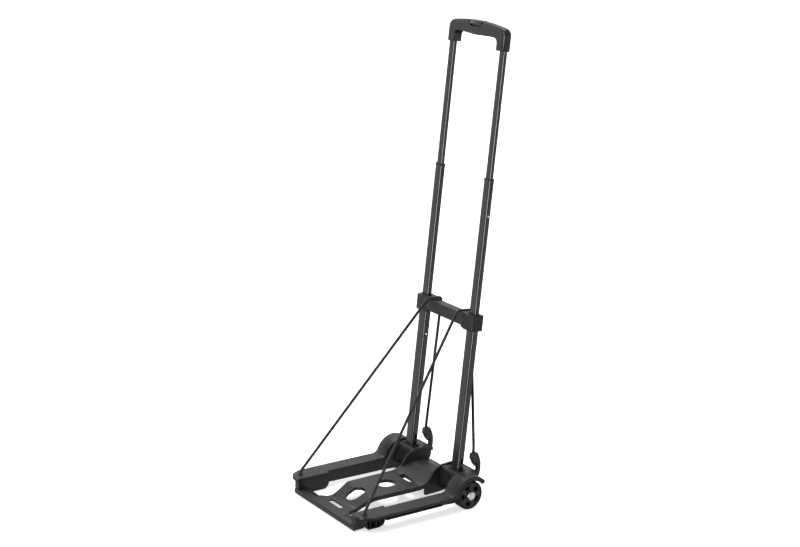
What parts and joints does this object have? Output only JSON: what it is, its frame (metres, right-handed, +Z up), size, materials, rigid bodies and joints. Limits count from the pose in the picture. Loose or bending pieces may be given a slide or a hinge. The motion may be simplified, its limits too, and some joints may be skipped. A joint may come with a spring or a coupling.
{
  "type": "folding luggage cart",
  "caption": "Folding luggage cart: moulded base with side arms and centre tray, two wheels, telescopic twin-leg handle with a release grip, and elastic cords that hook on behind.",
  "frame": {"origin": "bottom centre of the cart's bounding box, on the floor, measured without the cords and what is on them", "axes": "+Z up along the handle's height, +Y to the rear, where the handle and the wheels are, +X to the right seen from in front"},
  "size_m": [0.2912, 0.3648, 0.9672],
  "materials": {
    "moulding": "fine-textured charcoal moulding",
    "grip": "satin black moulding",
    "button": "glossy black",
    "tube": "black anodised, satin",
    "bush": "black",
    "wheel": "dark grey moulding",
    "tyre": "dark grey elastomer",
    "rod": "plain drawn rod",
    "steel": "zinc plated",
    "cap": "bright pressed cap",
    "cord": "braided elastic cord, black",
    "hook": "black nylon"
  },
  "bodies": {
    "base": {"right_side_arm": "moulding", "left_side_arm": "moulding", "right_front_foot": "moulding", "left_front_foot": "moulding", "centre_tray": "moulding", "front_crossbar": "moulding", "right_cord_knot": "cord", "left_cord_knot": "cord", "wheel_axle": "steel", "right_axle_cap": "cap", "left_axle_cap": "cap", "axle_washers": "steel", "base_screws": "steel"},
    "handle_frame": {"right_tube_socket": "moulding", "left_tube_socket": "moulding", "right_lower_tube": "tube", "left_lower_tube": "tube", "crossbar_front_shell": "moulding", "crossbar_rear_shell": "moulding", "crossbar_screws": "steel", "lower_tube_bushes": "bush", "socket_screws": "steel", "right_hook": "hook", "left_hook": "hook", "right_elastic_cord": "cord", "left_elastic_cord": "cord"},
    "middle_stage": {"right_middle_tube": "tube", "left_middle_tube": "tube", "middle_tube_bushes": "bush", "middle_lock_heads": "bush"},
    "upper_stage": {"right_upper_tube": "tube", "left_upper_tube": "tube", "upper_lock_heads": "bush", "grip_front_shell": "grip", "grip_rear_shell": "grip", "grip_screws": "steel", "button_spring": "steel"},
    "release": {"release_button": "button", "push_yoke": "bush", "push_rods": "rod"},
    "left_middle_pin": {"left_middle_lock_pin": "steel"},
    "right_middle_pin": {"right_middle_lock_pin": "steel"},
    "left_upper_pin": {"left_upper_lock_pin": "steel"},
    "right_upper_pin": {"right_upper_lock_pin": "steel"},
    "left_wheel": {"left_wheel_hub": "wheel", "left_tyre": "tyre"},
    "right_wheel": {"right_wheel_hub": "wheel", "right_tyre": "tyre"}
  },
  "joints": [
    {"name": "fold", "type": "hinge", "parent": "base", "child": "handle_frame", "pos_m": [0, 0.07962, 0.03], "axis": [1, 0, 0], "range_deg": [0, 95.5], "deforming": ["right_elastic_cord", "left_elastic_cord"]},
    {"name": "middle_slide", "type": "slide", "parent": "handle_frame", "child": "middle_stage", "axis": [0, 0.0958, 0.9954], "range_m": [-0.225, 0], "deforming": ["left_middle_lock_pin", "right_middle_lock_pin"]},
    {"name": "upper_slide", "type": "slide", "parent": "middle_stage", "child": "upper_stage", "axis": [0, 0.0958, 0.9954], "range_m": [-0.24, 0], "deforming": ["left_upper_lock_pin", "right_upper_lock_pin"]},
    {"name": "button_press", "type": "slide", "parent": "upper_stage", "child": "release", "axis": [0, -0.0958, -0.9954], "range_m": [0, 0.004], "stiffness_N_per_m": 600, "springref_m": -0.003, "deforming": ["button_spring"]},
    {"name": "right_upper_pin_slide", "type": "slide", "parent": "upper_stage", "child": "right_upper_pin", "axis": [-1, 0, 0], "range_m": [0, 0.0026]},
    {"name": "left_upper_pin_slide", "type": "slide", "parent": "upper_stage", "child": "left_upper_pin", "axis": [1, 0, 0], "range_m": [0, 0.0026]},
    {"name": "left_middle_pin_slide", "type": "slide", "parent": "middle_stage", "child": "left_middle_pin", "axis": [-1, 0, 0], "range_m": [0, 0.0026], "stiffness_N_per_m": 500},
    {"name": "right_middle_pin_slide", "type": "slide", "parent": "middle_stage", "child": "right_middle_pin", "axis": [1, 0, 0], "range_m": [0, 0.0026]},
    {"name": "left_wheel_spin", "type": "hinge", "parent": "base", "child": "left_wheel", "pos_m": [0, 0.07962, 0.03], "axis": [1, 0, 0], "continuous": true},
    {"name": "right_wheel_spin", "type": "hinge", "parent": "base", "child": "right_wheel", "pos_m": [0, 0.07962, 0.03], "axis": [1, 0, 0], "continuous": true}
  ],
  "couplings": [
    {"joint": "right_upper_pin_slide", "follows": "button_press", "ratio": 0.65},
    {"joint": "left_upper_pin_slide", "follows": "button_press", "ratio": 0.65},
    {"joint": "right_middle_pin_slide", "follows": "left_middle_pin_slide", "ratio": 1}
  ]
}
